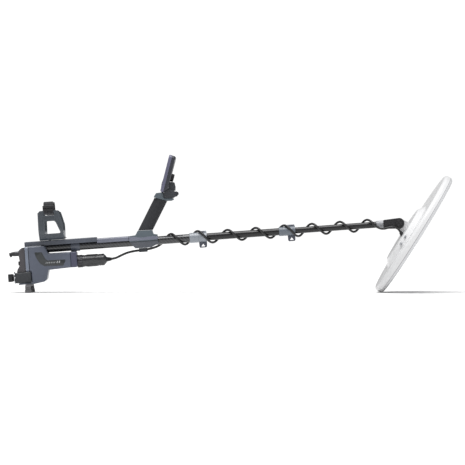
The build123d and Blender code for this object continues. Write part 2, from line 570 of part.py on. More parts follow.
# ------------------------------------------------------------------ build
def build():
    control_box()
    rear_fittings()
    battery()
    stand()
    coil_plug()
    rail()
    cuff()
    handle()
    display()
    tubes()
    lock_collar("camlock_1_collar", -108, -84.6, -62.5, 13.4, 12.4, UPPER_R, MIDDLE_R, UPPER_END)
    lock_lever("camlock_1_lever", -84.6, -62.5, 12.4, -27.6)
    lock_collar("camlock_2_collar", 129, 151, 172, 12.0, 12.4, MIDDLE_R, LOWER_R, MIDDLE_END)
    lock_lever("camlock_2_lever", 151, 172, 12.4, -27.2)
    yoke()
    coil()
    cables()
    os.makedirs("parts", exist_ok=True)
    for node, shape in PARTS.items():
        export_step(shape, f"parts/{node}.step")
    print(len(PARTS), "sub-parts; pivot", tuple(PIVOT.position), "shaft height", SHAFT_Z)


build()
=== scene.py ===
import json
import math
import bmesh
import bpy
from mathutils import Matrix, Vector


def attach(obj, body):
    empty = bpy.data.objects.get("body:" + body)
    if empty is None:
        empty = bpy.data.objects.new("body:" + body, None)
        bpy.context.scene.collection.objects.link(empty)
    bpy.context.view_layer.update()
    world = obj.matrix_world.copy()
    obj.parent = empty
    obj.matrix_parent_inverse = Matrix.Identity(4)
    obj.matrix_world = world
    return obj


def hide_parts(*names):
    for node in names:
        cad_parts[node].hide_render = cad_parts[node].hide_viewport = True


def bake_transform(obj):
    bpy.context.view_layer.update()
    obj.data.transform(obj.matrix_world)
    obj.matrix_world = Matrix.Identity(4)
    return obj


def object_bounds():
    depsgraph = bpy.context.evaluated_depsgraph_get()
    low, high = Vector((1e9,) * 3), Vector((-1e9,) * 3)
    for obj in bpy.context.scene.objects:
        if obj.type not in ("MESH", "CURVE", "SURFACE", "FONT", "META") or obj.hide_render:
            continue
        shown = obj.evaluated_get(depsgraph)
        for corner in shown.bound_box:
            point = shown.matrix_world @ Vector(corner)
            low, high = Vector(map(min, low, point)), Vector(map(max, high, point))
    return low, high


# A metal detector: the looks of its parts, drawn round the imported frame. Shapes are drawn in
# millimetres in three frames of the object: the shaft's (s along the shaft, y, n square to it), the
# coil's and the display panel's. Blender objects are in metres.

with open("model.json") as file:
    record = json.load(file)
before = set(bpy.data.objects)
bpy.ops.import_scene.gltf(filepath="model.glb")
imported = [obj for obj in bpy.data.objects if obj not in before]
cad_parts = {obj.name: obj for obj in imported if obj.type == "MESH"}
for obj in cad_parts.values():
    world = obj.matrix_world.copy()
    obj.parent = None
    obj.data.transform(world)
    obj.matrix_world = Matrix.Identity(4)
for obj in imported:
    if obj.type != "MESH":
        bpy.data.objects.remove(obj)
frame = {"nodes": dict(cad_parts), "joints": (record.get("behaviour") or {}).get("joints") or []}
CAD_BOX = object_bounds()
SCENE = bpy.context.scene
MM = 0.001

# ------------------------------------------------------------------ frames
JOINTS = {joint["name"]: joint for joint in frame["joints"]}
PIVOT = Vector(JOINTS["coil_tilt"]["pos_m"])
ALONG = Vector(JOINTS["middle_slide"]["axis"])
SHAFT_SLOPE = math.atan2(ALONG.z, ALONG.x)
COIL_SLOPE, PANEL_SLOPE = math.radians(58.0), math.radians(71.8)
PIVOT_S, PIVOT_N = 446.6, -0.7          # the coil's hinge in the shaft frame
PIVOT_ALONG, PIVOT_UP = 3.0, 49.0       # the same hinge in the coil frame
PANEL_FOOT = (-175.0, 0.0, 133.0)


def shift(x, y, z):
    return Matrix.Translation(Vector((x, y, z)) * MM)


def lean(angle):
    """X turned up by an angle about Y."""
    return Matrix.Rotation(-angle, 4, "Y")


SHAFT = Matrix.Translation(PIVOT) @ lean(SHAFT_SLOPE) @ shift(-PIVOT_S, 0, -PIVOT_N)
COIL = Matrix.Translation(PIVOT) @ lean(COIL_SLOPE) @ shift(-PIVOT_ALONG, 0, -PIVOT_UP)
PANEL = SHAFT @ shift(*PANEL_FOOT) @ lean(PANEL_SLOPE)


def place(where, point):
    """A point in mm in one of the frames, as a point in metres in the row frame."""
    return where @ (Vector(point) * MM)


# ------------------------------------------------------------------ shader helpers
class Shader:
    """A material being built: nodes go in by kind, and a link is a socket given as a value."""

    def __init__(self, name):
        self.material = bpy.data.materials.new(name)
        self.material.use_nodes = True
        self.tree = self.material.node_tree
        self.surface = self.tree.nodes["Principled BSDF"]
        self.here = self.node("ShaderNodeTexCoord").outputs["Object"]

    def node(self, kind, values=(), **settings):
        made = self.tree.nodes.new(kind)
        for key, value in settings.items():
            setattr(made, key, value)
        for key, value in dict(values).items():
            self.put(made.inputs[key], value)
        return made

    def put(self, socket, value):
        if isinstance(value, bpy.types.NodeSocket):
            self.tree.links.new(value, socket)
        else:
            socket.default_value = value

    def set(self, **values):
        for key, value in values.items():
            self.put(self.surface.inputs[key.replace("_", " ")], value)

    def math(self, operation, *values, clamp=False):
        made = self.node("ShaderNodeMath", dict(enumerate(values)), operation=operation)
        made.use_clamp = clamp
        return made.outputs[0]

    def noise(self, per_metre, detail=3.0, rough=0.55, where=None, distortion=0.0):
        values = {"Vector": where or self.here, "Scale": per_metre, "Detail": detail, "Roughness": rough,
                  "Distortion": distortion}
        return self.node("ShaderNodeTexNoise", values).outputs["Fac"]

    def cells(self, per_metre, where=None):
        values = {"Vector": where or self.here, "Scale": per_metre}
        return self.node("ShaderNodeTexVoronoi", values).outputs["Distance"]

    def between(self, value, low, high, out_low, out_high):
        values = {"Value": value, "From Min": low, "From Max": high, "To Min": out_low, "To Max": out_high}
        return self.node("ShaderNodeMapRange", values).outputs[0]

    def mix(self, share, first, second):
        made = self.node("ShaderNodeMix", data_type="RGBA")
        for index, value in ((0, share), (6, first), (7, second)):
            self.put(made.inputs[index], value)
        return made.outputs[2]

    def turned_into(self, where):
        """Object coordinates given in one of the frames, such as the shaft's or the coil's."""
        back = where.inverted()
        values = {"Vector": self.here, "Location": back.to_translation(), "Rotation": back.to_euler()}
        return self.node("ShaderNodeMapping", values).outputs[0]

    def parts(self, vector):
        return self.node("ShaderNodeSeparateXYZ", {"Vector": vector}).outputs

    def edges(self, radius):
        """Where a sharp edge is near, from 0 to 1, and a normal that rounds it."""
        soft = self.node("ShaderNodeBevel", {"Radius": radius}, samples=4).outputs[0]
        flat = self.node("ShaderNodeNewGeometry").outputs["Normal"]
        turn = self.node("ShaderNodeVectorMath", {0: soft, 1: flat}, operation="DOT_PRODUCT").outputs["Value"]
        return self.between(turn, 0.995, 0.80, 0.0, 1.0), soft

    def bump(self, height, depth, normal=None, strength=1.0):
        values = {"Height": height, "Distance": depth, "Strength": strength}
        if normal is not None:
            values["Normal"] = normal
        return self.node("ShaderNodeBump", values).outputs[0]


def colour(red, green, blue):
    return (red, green, blue, 1.0)


def shade(base, factor):
    return colour(*[min(1.0, channel * factor) for channel in base[:3]])


def moulded(name, base, rough=0.42, grain=2600.0, depth=0.00006, wear=0.35, spread=0.12, edge=0.0006,
            gloss=0.5, coat=0.0):
    """Moulded plastic or rubber: a spark-eroded grain, uneven tone, scuffs and paler worn edges."""
    s = Shader(name)
    cloud = s.noise(14.0, 4.0)
    fine = s.noise(900.0, 2.0)
    worn, round_normal = s.edges(edge)
    chips = s.between(s.noise(420.0, 4.0, 0.7), 0.45, 0.62, 0.0, 1.0)
    tone = s.mix(s.between(cloud, 0.3, 0.7, 0.0, 1.0), shade(base, 1 - spread), shade(base, 1 + spread))
    tone = s.mix(s.between(fine, 0.35, 0.65, 0.0, 0.25), tone, shade(base, 0.8))
    pale = s.math("MULTIPLY", s.math("MULTIPLY", worn, chips), wear)
    lighter = colour(*[min(1.0, channel * 1.5 + 0.07) for channel in base[:3]])
    tone = s.mix(pale, tone, lighter)
    scuff = s.between(s.noise(60.0, 6.0, 0.75, distortion=1.5), 0.5, 0.75, 0.0, 0.16)
    worn_rough = s.math("MULTIPLY", pale, 0.2)
    s.set(Base_Color=tone, Roughness=s.math("ADD", s.math("ADD", scuff, rough), worn_rough))
    grained = s.math("ADD", s.cells(grain), s.math("MULTIPLY", s.noise(grain * 0.4, 2.0), 0.6))
    s.set(Normal=s.bump(grained, depth, round_normal))
    s.surface.inputs["Specular IOR Level"].default_value = gloss
    s.surface.inputs["Coat Weight"].default_value = coat
    s.surface.inputs["Coat Roughness"].default_value = 0.12
    return s.material


def carbon(name):
    """Clear-coated 2 by 2 twill carbon, wrapped round the shaft."""
    tow_wide, tows_round = 0.0022, 26
    s = Shader(name)
    x, y, z = s.parts(s.turned_into(SHAFT))
    angle = s.math("ARCTAN2", y, z)
    rows = s.math("MULTIPLY", x, 1 / tow_wide)
    columns = s.math("MULTIPLY", angle, tows_round / math.tau)
    warp = s.math("FLOOR", rows)
    weft = s.math("FLOOR", columns)
    step = s.math("FLOORED_MODULO", s.math("ADD", warp, weft), 4.0)
    over = s.math("LESS_THAN", step, 2.0)
    crown_x = s.math("ABSOLUTE", s.math("SUBTRACT", s.math("FRACT", rows), 0.5))
    crown_y = s.math("ABSOLUTE", s.math("SUBTRACT", s.math("FRACT", columns), 0.5))
    under = s.math("SUBTRACT", 1.0, over)
    crown = s.math("ADD", s.math("MULTIPLY", over, crown_y), s.math("MULTIPLY", under, crown_x))
    threads = s.noise(2500.0, 2.0)
    tow = s.mix(over, colour(0.004, 0.0045, 0.006), colour(0.030, 0.032, 0.037))
    tow = s.mix(s.between(threads, 0.3, 0.7, 0.0, 0.3), tow, colour(0.02, 0.02, 0.024))
    s.set(Base_Color=tow, Roughness=s.between(over, 0.0, 1.0, 0.30, 0.42), Metallic=0.3)
    s.set(Normal=s.bump(crown, 0.00012, strength=0.5))
    s.surface.inputs["Coat Weight"].default_value = 1.0
    s.surface.inputs["Coat Roughness"].default_value = 0.05
    return s.material


def painted_tube(name):
    """Matt black tube with fine uneven rings round it."""
    s = Shader(name)
    x, y, z = s.parts(s.turned_into(SHAFT))
    angle = s.math("ARCTAN2", y, z)
    stretch = {0: s.math("MULTIPLY", x, 4.0), 1: s.math("MULTIPLY", angle, 0.5)}
    strokes = s.node("ShaderNodeCombineXYZ", stretch).outputs[0]
    marks = s.noise(60.0, 5.0, 0.7, where=strokes)
    black, worn = colour(0.004, 0.004, 0.005), colour(0.015, 0.015, 0.017)
    tone = s.mix(s.between(marks, 0.5, 0.75, 0.0, 0.8), black, worn)
    s.set(Base_Color=tone, Roughness=s.between(marks, 0.3, 0.8, 0.22, 0.42))
    s.set(Normal=s.bump(s.noise(1800.0, 3.0), 0.00003))
    return s.material


def woven(name, base):
    """Webbing: ribs along its length, crossed by fine weft threads, with painted shade where the weave is low
    and painted light on its crowns.
    """
    rib_wide, pick_long = 0.0018, 0.0012
    s = Shader(name)
    along = s.node("ShaderNodeAttribute", attribute_name="along").outputs["Fac"]
    across = s.node("ShaderNodeAttribute", attribute_name="across").outputs["Fac"]
    rib = s.math("SINE", s.math("MULTIPLY", across, math.tau / rib_wide))
    picks = s.math("MULTIPLY", along, math.tau / pick_long)
    pick = s.math("SINE", s.math("ADD", picks, s.math("MULTIPLY", rib, 1.4)))
    height = s.math("ADD", rib, s.math("MULTIPLY", pick, 0.8))
    fibre = s.noise(3000.0, 3.0)
    # Painted shade and light: the weave is darker where it is low and lighter on its crowns.
    tone = s.mix(s.between(height, -1.5, 1.5, 0.0, 1.0), shade(base, 0.35), shade(base, 1.7))
    tone = s.mix(s.between(fibre, 0.3, 0.7, 0.0, 0.35), tone, shade(base, 2.4))
    s.set(Base_Color=tone, Roughness=s.between(fibre, 0.3, 0.7, 0.75, 0.92))
    s.set(Normal=s.bump(height, 0.00025))
    s.surface.inputs["Sheen Weight"].default_value = 0.25
    s.surface.inputs["Sheen Roughness"].default_value = 0.5
    return s.material


COIL_SEAM = -0.004                      # height of the coil's seam in its own frame, in metres
DUST_TOP, PAINTED_SHADE_TOP = 0.05, 0.15         # how far up from the ground the coil is dusty, and how far up painted shade greys it


def white_shell(name, base, low_dirt=0.25):
    """Glossy white moulded plastic: faint orange peel, a dark seam, scuffs, dust towards the ground, and
    painted shade that greys it towards the ground.
    """
    s = Shader(name)
    round_normal = s.edges(0.0009)[1]
    cloud = s.noise(9.0, 4.0)
    tone = s.mix(s.between(cloud, 0.3, 0.7, 0.0, 1.0), shade(base, 0.985), shade(base, 1.01))
    height = s.parts(s.here)[2]
    low = s.between(height, 0.0, DUST_TOP, 1.0, 0.0)
    dust = s.math("MULTIPLY", low, s.between(s.noise(85.0, 6.0, 0.7), 0.42, 0.66, 0.0, low_dirt))
    tone = s.mix(dust, tone, colour(0.42, 0.40, 0.37))
    # Painted shade: the shell greys smoothly towards the ground.
    tone = s.mix(s.between(height, 0.0, PAINTED_SHADE_TOP, 0.35, 0.0), tone, colour(0.40, 0.40, 0.41))
    off_seam = s.math("ABSOLUTE", s.math("SUBTRACT", s.parts(s.turned_into(COIL))[2], COIL_SEAM))
    tone = s.mix(s.between(off_seam, 0.0003, 0.0010, 0.6, 0.0), tone, colour(0.10, 0.10, 0.11))
    scratch = s.between(s.noise(150.0, 6.0, 0.8, distortion=2.5), 0.60, 0.68, 0.0, 0.10)
    tone = s.mix(s.math("MULTIPLY", scratch, low), tone, colour(0.3, 0.3, 0.3))
    s.set(Base_Color=tone, Roughness=s.between(s.noise(40.0, 5.0, 0.7), 0.35, 0.7, 0.24, 0.36))
    s.set(Normal=s.bump(s.noise(650.0, 2.0), 0.00002, round_normal))
    s.surface.inputs["Coat Weight"].default_value = 0.2
    s.surface.inputs["Coat Roughness"].default_value = 0.1
    return s.material


def metal(name, base, rough, strokes=900.0):
    """Brushed or anodised metal with fine uneven strokes."""
    s = Shader(name)
    stretched = s.node("ShaderNodeMapping", {"Vector": s.here, "Scale": (0.08, 1.0, 1.0)}).outputs[0]
    lines = s.noise(strokes, 4.0, 0.7, where=stretched)
    worn, round_normal = s.edges(0.0004)
    tone = s.mix(s.between(lines, 0.3, 0.7, 0.0, 0.4), base, shade(base, 0.75))
    tone = s.mix(s.math("MULTIPLY", worn, 0.5), tone, shade(base, 1.5))
    s.set(Base_Color=tone, Metallic=1.0, Roughness=s.between(lines, 0.3, 0.7, rough - 0.07, rough + 0.1))
    s.set(Normal=s.bump(lines, 0.00002, round_normal))
    return s.material


def printed(name, base, glow=0.0):
    """Printed ink or lit display segments, a little uneven."""
    s = Shader(name)
    tone = s.mix(s.between(s.noise(1200.0, 3.0), 0.3, 0.7, 0.0, 0.5), base, shade(base, 0.8))
    s.set(Base_Color=tone, Roughness=s.between(s.noise(300.0, 3.0), 0.3, 0.7, 0.4, 0.6))
    s.surface.inputs["Emission Color"].default_value = base
    s.surface.inputs["Emission Strength"].default_value = glow
    return s.material


def circuit(name):
    """Solder mask with traces and pads."""
    s = Shader(name)
    bricks = s.node("ShaderNodeTexBrick", {"Vector": s.here, "Scale": 60.0, "Mortar Size": 0.012})
    trace = s.between(bricks.outputs["Fac"], 0.4, 0.6, 0.0, 1.0)
    tone = s.mix(trace, colour(0.02, 0.13, 0.05), colour(0.09, 0.30, 0.12))
    tone = s.mix(s.between(s.cells(320.0), 0.10, 0.06, 0.0, 1.0), tone, colour(0.75, 0.62, 0.32))
    s.set(Base_Color=tone, Roughness=s.between(s.noise(500.0), 0.3, 0.7, 0.25, 0.4))
    return s.material


def wound(name):
    """Enamelled wire lying side by side, with painted shade between the wires and painted light on top of
    each.
    """
    wire_wide = 0.0008
    s = Shader(name)
    strand = s.math("SINE", s.math("MULTIPLY", s.parts(s.here)[2], math.tau / wire_wide))
    # Painted shade and light: darker in the crease between wires, lighter on top of each wire.
    tone = s.mix(s.between(strand, -1.0, 1.0, 0.0, 1.0), colour(0.35, 0.13, 0.05), colour(0.75, 0.38, 0.18))
    s.set(Base_Color=tone, Metallic=0.8, Roughness=s.between(s.noise(300.0), 0.3, 0.7, 0.25, 0.4))
    s.set(Normal=s.bump(strand, 0.0001))
    return s.material


def glass(name):
    """The display's hard cover: dark, glossy, with faint smears."""
    s = Shader(name)
    smear = s.noise(90.0, 5.0, 0.7, distortion=1.0)
    cloud = s.between(s.noise(20.0), 0.3, 0.7, 0.0, 1.0)
    tone = s.mix(cloud, colour(0.010, 0.016, 0.022), colour(0.014, 0.022, 0.030))
    s.set(Base_Color=tone, Roughness=s.between(smear, 0.4, 0.75, 0.04, 0.22))
    s.surface.inputs["Coat Weight"].default_value = 1.0
    s.surface.inputs["Coat Roughness"].default_value = 0.03
    return s.material


# ------------------------------------------------------------------ materials
BOX = moulded("box_plastic", colour(0.084, 0.097, 0.132), 0.34, wear=0.5, coat=0.15)
CAP = moulded("front_cap_plastic", colour(0.058, 0.060, 0.100), 0.36, coat=0.1)
RAIL = moulded("rail_plastic", colour(0.070, 0.080, 0.105), 0.34, wear=0.5, coat=0.15)
COVER = moulded("rail_cover_plastic", colour(0.155, 0.165, 0.215), 0.30, coat=0.3)
CUFF = moulded("cuff_plastic", colour(0.052, 0.063, 0.076), 0.34, wear=0.6, coat=0.2)
BEZEL = moulded("bezel_plastic", colour(0.165, 0.190, 0.245), 0.30, coat=0.3)
PANEL_FACE = moulded("panel_plastic", colour(0.120, 0.120, 0.185), 0.36, coat=0.15)
PANEL_DARK = moulded("panel_back_plastic", colour(0.026, 0.028, 0.038), 0.40)
CLAMP = moulded("clamp_plastic", colour(0.090, 0.115, 0.135), 0.38, wear=0.5)
CLAMP_LOW = moulded("clamp_lower_plastic", colour(0.085, 0.092, 0.110), 0.40)
SOFT_BACK = moulded("rear_soft_touch", colour(0.078, 0.074, 0.080), 0.62, depth=0.00009, spread=0.10,
                    gloss=0.3)
SLATE = moulded("battery_plastic", colour(0.032, 0.035, 0.040), 0.50, depth=0.00009)
LEG = moulded("stand_plastic", colour(0.105, 0.104, 0.110), 0.52, depth=0.00009)
DARK = moulded("dark_plastic", colour(0.034, 0.038, 0.046), 0.45, depth=0.00008)
BLACK = moulded("black_plastic", colour(0.009, 0.009, 0.011), 0.38, depth=0.00008, wear=0.25)
GRIP = moulded("grip_rubber", colour(0.028, 0.029, 0.033), 0.66, grain=1100.0, depth=0.00022, gloss=0.3)
RUBBER = moulded("rubber", colour(0.016, 0.016, 0.018), 0.66, grain=2000.0, depth=0.00008, gloss=0.3)
SILVER = moulded("lock_collar_plastic", colour(0.27, 0.295, 0.33), 0.26, coat=0.4, wear=0.2)
COLLAR = moulded("second_collar_plastic", colour(0.125, 0.145, 0.172), 0.32, coat=0.2)
LEVER = moulded("lock_lever_plastic", colour(0.070, 0.078, 0.105), 0.36, wear=0.5)
FERRULE = moulded("ferrule_plastic", colour(0.36, 0.37, 0.39), 0.34, coat=0.2, wear=0.2)
JACKET = moulded("cable_jacket", colour(0.012, 0.012, 0.013), 0.33, grain=3500.0, depth=0.00003, wear=0.0,
                 edge=0.0001)
PLUG = moulded("plug_black", colour(0.022, 0.023, 0.026), 0.30, depth=0.00004, coat=0.3)
TWILL = carbon("carbon_twill")
TUBE = painted_tube("black_tube")
WEB = woven("webbing", colour(0.014, 0.014, 0.017))
WHITE = white_shell("coil_white", colour(0.765, 0.767, 0.775))
SKID = white_shell("skid_white", colour(0.66, 0.665, 0.68), 0.5)
STEEL = metal("steel", colour(0.62, 0.63, 0.65), 0.28)
ANODISED = metal("anodised_ring", colour(0.075, 0.075, 0.080), 0.42)
COPPER = wound("enamelled_wire")
BOARD = circuit("circuit_board")
CELL = moulded("cell_sleeve", colour(0.08, 0.24, 0.17), 0.25, coat=0.4)
GLASS = glass("display_glass")
INLAY = moulded("inlay_plastic", colour(0.022, 0.026, 0.028), 0.34, depth=0.00004, coat=0.2)
MARK = printed("pale_marks", colour(0.46, 0.47, 0.48))
INK = printed("grey_marks", colour(0.22, 0.23, 0.25))
LIT = printed("display_segments", colour(0.30, 0.72, 0.74), 0.9)

NODE_LOOKS = {
    BOX: ["control_box_shell"], CAP: ["front_cap"], BEZEL: ["rear_bezel"], PANEL_FACE: ["panel_bezel"],
    RUBBER: ["rear_gasket", "power_button", "direction_pad", "menu_key", "back_key", "friction_washers"],
    SOFT_BACK: ["rear_panel"], BOARD: ["main_board", "lcd_module"], CELL: ["battery_cells"],
    BLACK: ["headphone_cap", "battery_lock_knob", "yoke", "cable_gland", "speaker_cap", "coil_bolt",
            "wing_nut", "strap_buckle"],
    STEEL: ["battery_lock_ring", "cuff_screw"], ANODISED: ["plug_ring", "headphone_socket"],
    PLUG: ["coil_plug"], TWILL: ["upper_shaft"], TUBE: ["middle_shaft", "lower_shaft"],
    RAIL: ["arm_rail", "shaft_saddle"], COVER: ["rail_cover"], CUFF: ["arm_cuff"],
    LEG: ["stand", "stand_feet"],
    CLAMP: ["handle_clamp_upper", "handle_head"], CLAMP_LOW: ["handle_clamp_lower"],
    GRIP: ["grip"], DARK: ["clamp_knob", "knuckle", "panel_back_box", "trigger"],
    PANEL_DARK: ["panel_back"], SLATE: ["battery_case"], SILVER: ["camlock_1_collar"],
    LEVER: ["camlock_1_lever", "camlock_2_lever"], COLLAR: ["camlock_2_collar"], FERRULE: ["shaft_ferrule"],
    WHITE: ["coil_shell"], SKID: ["coil_skid_plate"], COPPER: ["coil_windings"], GLASS: ["lcd_window"],
}


def dress_nodes():
    """Gives the parts that keep their CAD shapes their materials."""
    for material, nodes in NODE_LOOKS.items():
        for node in nodes:
            for material_slot in frame["nodes"][node].material_slots:
                material_slot.material = material


# ------------------------------------------------------------------ mesh helpers
def piece(name, shape, where, body, material, smooth=35.0):
    """Makes a bmesh drawn in mm in one of the frames into a piece that rides on a body."""
    bmesh.ops.recalc_face_normals(shape, faces=shape.faces)
    shape.transform(where @ Matrix.Scale(MM, 4))
    mesh = bpy.data.meshes.new(name)
    shape.to_mesh(mesh)
    shape.free()
    mesh.materials.append(material)
    mesh.shade_smooth()
    mesh.set_sharp_from_angle(angle=math.radians(smooth))
    made = bpy.data.objects.new(name, mesh)
    SCENE.collection.objects.link(made)
    if body:
        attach(made, body)
    return made


def rounded(points, radius, steps=4):
    """A closed outline with each corner turned into an arc."""
    line = []
    for index, point in enumerate(points):
        here = Vector(point)
        back = Vector(points[index - 1]) - here
        on = Vector(points[(index + 1) % len(points)]) - here
        half = back.angle(on) / 2
        cut = min(radius / math.tan(half), 0.45 * min(back.length, on.length))
        centre = here + (back.normalized() + on.normalized()).normalized() * cut / math.cos(half)
        first = here + back.normalized() * cut - centre
        last = here + on.normalized() * cut - centre
        for step in range(steps + 1):
            ray = first.lerp(last, step / steps).normalized() * first.length
            line.append(tuple(centre + ray))
    return line


def oval(x, y, half_x, half_y, steps=28):
    """The outline of an ellipse."""
    turns = [math.tau * step / steps for step in range(steps)]
    return [(x + half_x * math.cos(turn), y + half_y * math.sin(turn)) for turn in turns]


def plate(shape, points, low, high, axis="Y", edge=0.3):
    """Adds a flat piece with this outline, its rim rounded, between two heights on an axis."""
    middle = sum((Vector(point) for point in points), Vector((0, 0))) / len(points)

    def at(point, height):
        return (point[0], height, point[1]) if axis == "Y" else (point[0], point[1], height)

    thin = min(edge, abs(high - low) / 2)
    turn = math.copysign(thin, high - low)
    levels = [(low, 0.0), (high - turn, 0.0), (high - 0.3 * turn, 0.3 * thin), (high, thin)]
    rings = []
    for height, inward in levels:
        ring = []
        for point in points:
            spot = Vector(point)
            reach = (spot - middle).length
            spot = middle + (spot - middle) * (1 - inward / reach)
            ring.append(shape.verts.new(at(spot, height)))
        rings.append(ring)
    count = len(points)
    for first, second in zip(rings, rings[1:]):
        for i in range(count):
            shape.faces.new((first[i], first[(i + 1) % count], second[(i + 1) % count], second[i]))
    shape.faces.new(rings[0])
    shape.faces.new(rings[-1])


def bar(x0, y0, x1, y1, width):
    """The outline of a straight stroke."""
    start, end = Vector((x0, y0)), Vector((x1, y1))
    side = (end - start).orthogonal().normalized() * width / 2
    return [tuple(p) for p in (start + side, end + side, end - side, start - side)]


def lathe(shape, profile, y=0.0, n=0.0, steps=48, closed=False):
    """Adds a solid turned about a line parallel to X, from (x, radius) pairs."""
    rings = []
    for x, radius in profile:
        turns = [math.tau * step / steps for step in range(steps)]
        spots = [(x, y + radius * math.cos(turn), n + radius * math.sin(turn)) for turn in turns]
        rings.append([shape.verts.new(spot) for spot in spots])
    pairs = list(zip(rings, rings[1:]))
    if closed:
        pairs.append((rings[-1], rings[0]))
    for first, second in pairs:
        for i in range(steps):
            shape.faces.new((first[i], first[(i + 1) % steps], second[(i + 1) % steps], second[i]))
    if not closed:
        shape.faces.new(rings[0])
        shape.faces.new(rings[-1])


def tilted(shape, start, matrix):
    """Moves the points added since a count by a matrix."""
    shape.verts.ensure_lookup_table()
    bmesh.ops.transform(shape, matrix=matrix, verts=shape.verts[start:])


# ------------------------------------------------------------------ cable
CABLE_R = 3.0
TURN_POINTS = 12
WINDING_R = 15.0                        # from the shaft's axis to the cable's middle
WINDING_TOPS = [-157.0, -86.6, -6.9, 67.8, 143.4, 216.8, 291.2, 363.7]      # where each turn is on top
START_TURN, END_TURN = -120.0, 90.0     # degrees past the first and the last top
LOCK_SWELLS = [(-110.0, -60.0, 17.6), (126.0, 174.0, 16.2)]     # from, to, and the radius over a cam lock
SWELL_RAMP = 26.0
SPAN_ENDS = (-62.0, 130.0, 396.0)
GLAND_FOOT, GLAND_LEAN, GLAND_LONG = Vector((-19.0, -20.0, 23.5)), Vector((0.423, 0.0, 0.906)), 11.0
GLAND_RUN = 7.7                         # the straight run out of the gland
SOCKET_N = -40.0                        # height of the plug's axis in the shaft frame


def swell(s):
    """The winding's radius, which is larger where the lead passes over a cam lock."""
    radius = WINDING_R
    for start, end, over in LOCK_SWELLS:
        share = min(1.0, (s - start) / SWELL_RAMP + 1.0, (end - s) / SWELL_RAMP + 1.0)
        radius = max(radius, WINDING_R + (over - WINDING_R) * share)
    return radius


def winding():
    """Points round the shaft, over the top towards -Y, a dozen to a turn."""
    step = 360 / TURN_POINTS
    turns = len(WINDING_TOPS) - 1
    points = []
    for index in range(int((turns * 360 + END_TURN - START_TURN) / step) + 1):
        angle = START_TURN + index * step
        turn = min(max(int(math.floor(angle / 360)), 0), turns - 1)
        pitch = WINDING_TOPS[turn + 1] - WINDING_TOPS[turn]
        s = WINDING_TOPS[turn] + pitch * (angle / 360 - turn)
        radius = swell(s)
        turned = math.radians(angle)
        points.append((s, -radius * math.sin(turned), radius * math.cos(turned)))
    return points


def cable_route():
    """The whole lead in the shaft frame, from the plug's boot to the coil's gland."""
    lead = [
        (-325.5, 0.0, SOCKET_N), (-310.0, 0.0, SOCKET_N), (-293.0, 3.0, -32.6), (-274.0, 9.0, -25.8),
        (-253.0, 14.6, -23.2), (-231.0, 16.4, -22.4), (-210.0, 14.8, -20.0), (-193.0, 11.4, -15.2),
    ]
    tail = [
        (388.8, -16.4, -6.6), (397.0, -18.8, -11.2), (407.6, -22.0, -12.2), (419.5, -23.2, -9.4),
        (430.5, -22.9, -8.6), (438.8, -21.8, -11.4),
    ]
    for far in (GLAND_LONG + GLAND_RUN, GLAND_LONG):
        spot = place(COIL, GLAND_FOOT + GLAND_LEAN.normalized() * far)
        tail.append(tuple((SHAFT.inverted() @ spot) / MM))
    return lead + winding() + tail


def spline_line(points):
    """The points of the NURBS spline whose control points these are, in the row frame."""
    curve = bpy.data.curves.new("route", "CURVE")
    curve.dimensions = "3D"
    spline = curve.splines.new("NURBS")
    spline.points.add(len(points) - 1)
    for knot, point in zip(spline.points, points):
        knot.co = (*place(SHAFT, point), 1.0)
    spline.order_u = 3
    spline.use_endpoint_u = True
    spline.resolution_u = 6
    carrier = bpy.data.objects.new("route", curve)
    SCENE.collection.objects.link(carrier)
    bpy.context.view_layer.update()
    mesh = bpy.data.meshes.new_from_object(carrier)
    line = [vertex.co.copy() for vertex in mesh.vertices]
    bpy.data.objects.remove(carrier)
    return line


def round_section(made, material, radius):
    """A modifier that gives the piece's line a round section, which stays round when it bends."""
    group = bpy.data.node_groups.new(made.name, "GeometryNodeTree")
    for flow in ("INPUT", "OUTPUT"):
        group.interface.new_socket("Geometry", in_out=flow, socket_type="NodeSocketGeometry")
    kinds = ["NodeGroupInput", "GeometryNodeMeshToCurve", "GeometryNodeCurveToMesh",
             "GeometryNodeSetShadeSmooth", "GeometryNodeSetMaterial", "NodeGroupOutput"]
    chain = [group.nodes.new(kind) for kind in kinds]
    sweep, paint = chain[2], chain[4]
    for first, second in zip(chain, chain[1:]):
        group.links.new(first.outputs[0], second.inputs[0])
    circle = group.nodes.new("GeometryNodeCurvePrimitiveCircle")
    circle.inputs["Resolution"].default_value = 16
    circle.inputs["Radius"].default_value = radius
    group.links.new(circle.outputs[0], sweep.inputs["Profile Curve"])
    sweep.inputs["Fill Caps"].default_value = True
    paint.inputs["Material"].default_value = material
    made.modifiers.new("section", "NODES").node_group = group


def cable_span(name, line, body, blend=None):
    """One span of the lead. A span that crosses a joint is baked in place and rides on no body; the others
    ride on their body.
    """
    mesh = bpy.data.meshes.new(name)
    mesh.from_pydata(line, [(i, i + 1) for i in range(len(line) - 1)], [])
    mesh.materials.append(JACKET)
    made = bpy.data.objects.new(name, mesh)
    SCENE.collection.objects.link(made)
    round_section(made, JACKET, CABLE_R * MM)
    if blend:
        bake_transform(made)
    else:
        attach(made, body)
    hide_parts(name.replace("lead_part", "cable"))


def cables():
    """The lead in four spans, cut at the middle of a run of its route, as the frame's solids are."""
    route = cable_route()
    cuts = [next(i for i, point in enumerate(route) if point[0] > s) for s in SPAN_ENDS]
    middles = [tuple((Vector(route[cut - 1]) + Vector(route[cut])) / 2) for cut in cuts]
    starts, ends = [route[0], *middles], [*middles, route[-1]]
    first, last = [1, *cuts], [*cuts, len(route) - 1]
    spans = [
        ("lead_part_lead", "frame", None),
        ("lead_part_upper_span", "frame", ("middle", -58.0, 126.0)),
        ("lead_part_lower_span", "middle", ("lower", 172.0, 370.0)),
        ("lead_part_tail", "lower", ("coil", 415.0, 447.0)),
    ]
    for (name, body, blend), start, end, a, b in zip(spans, starts, ends, first, last):
        cable_span(name, spline_line([start, *route[a:b], end]), body, blend)


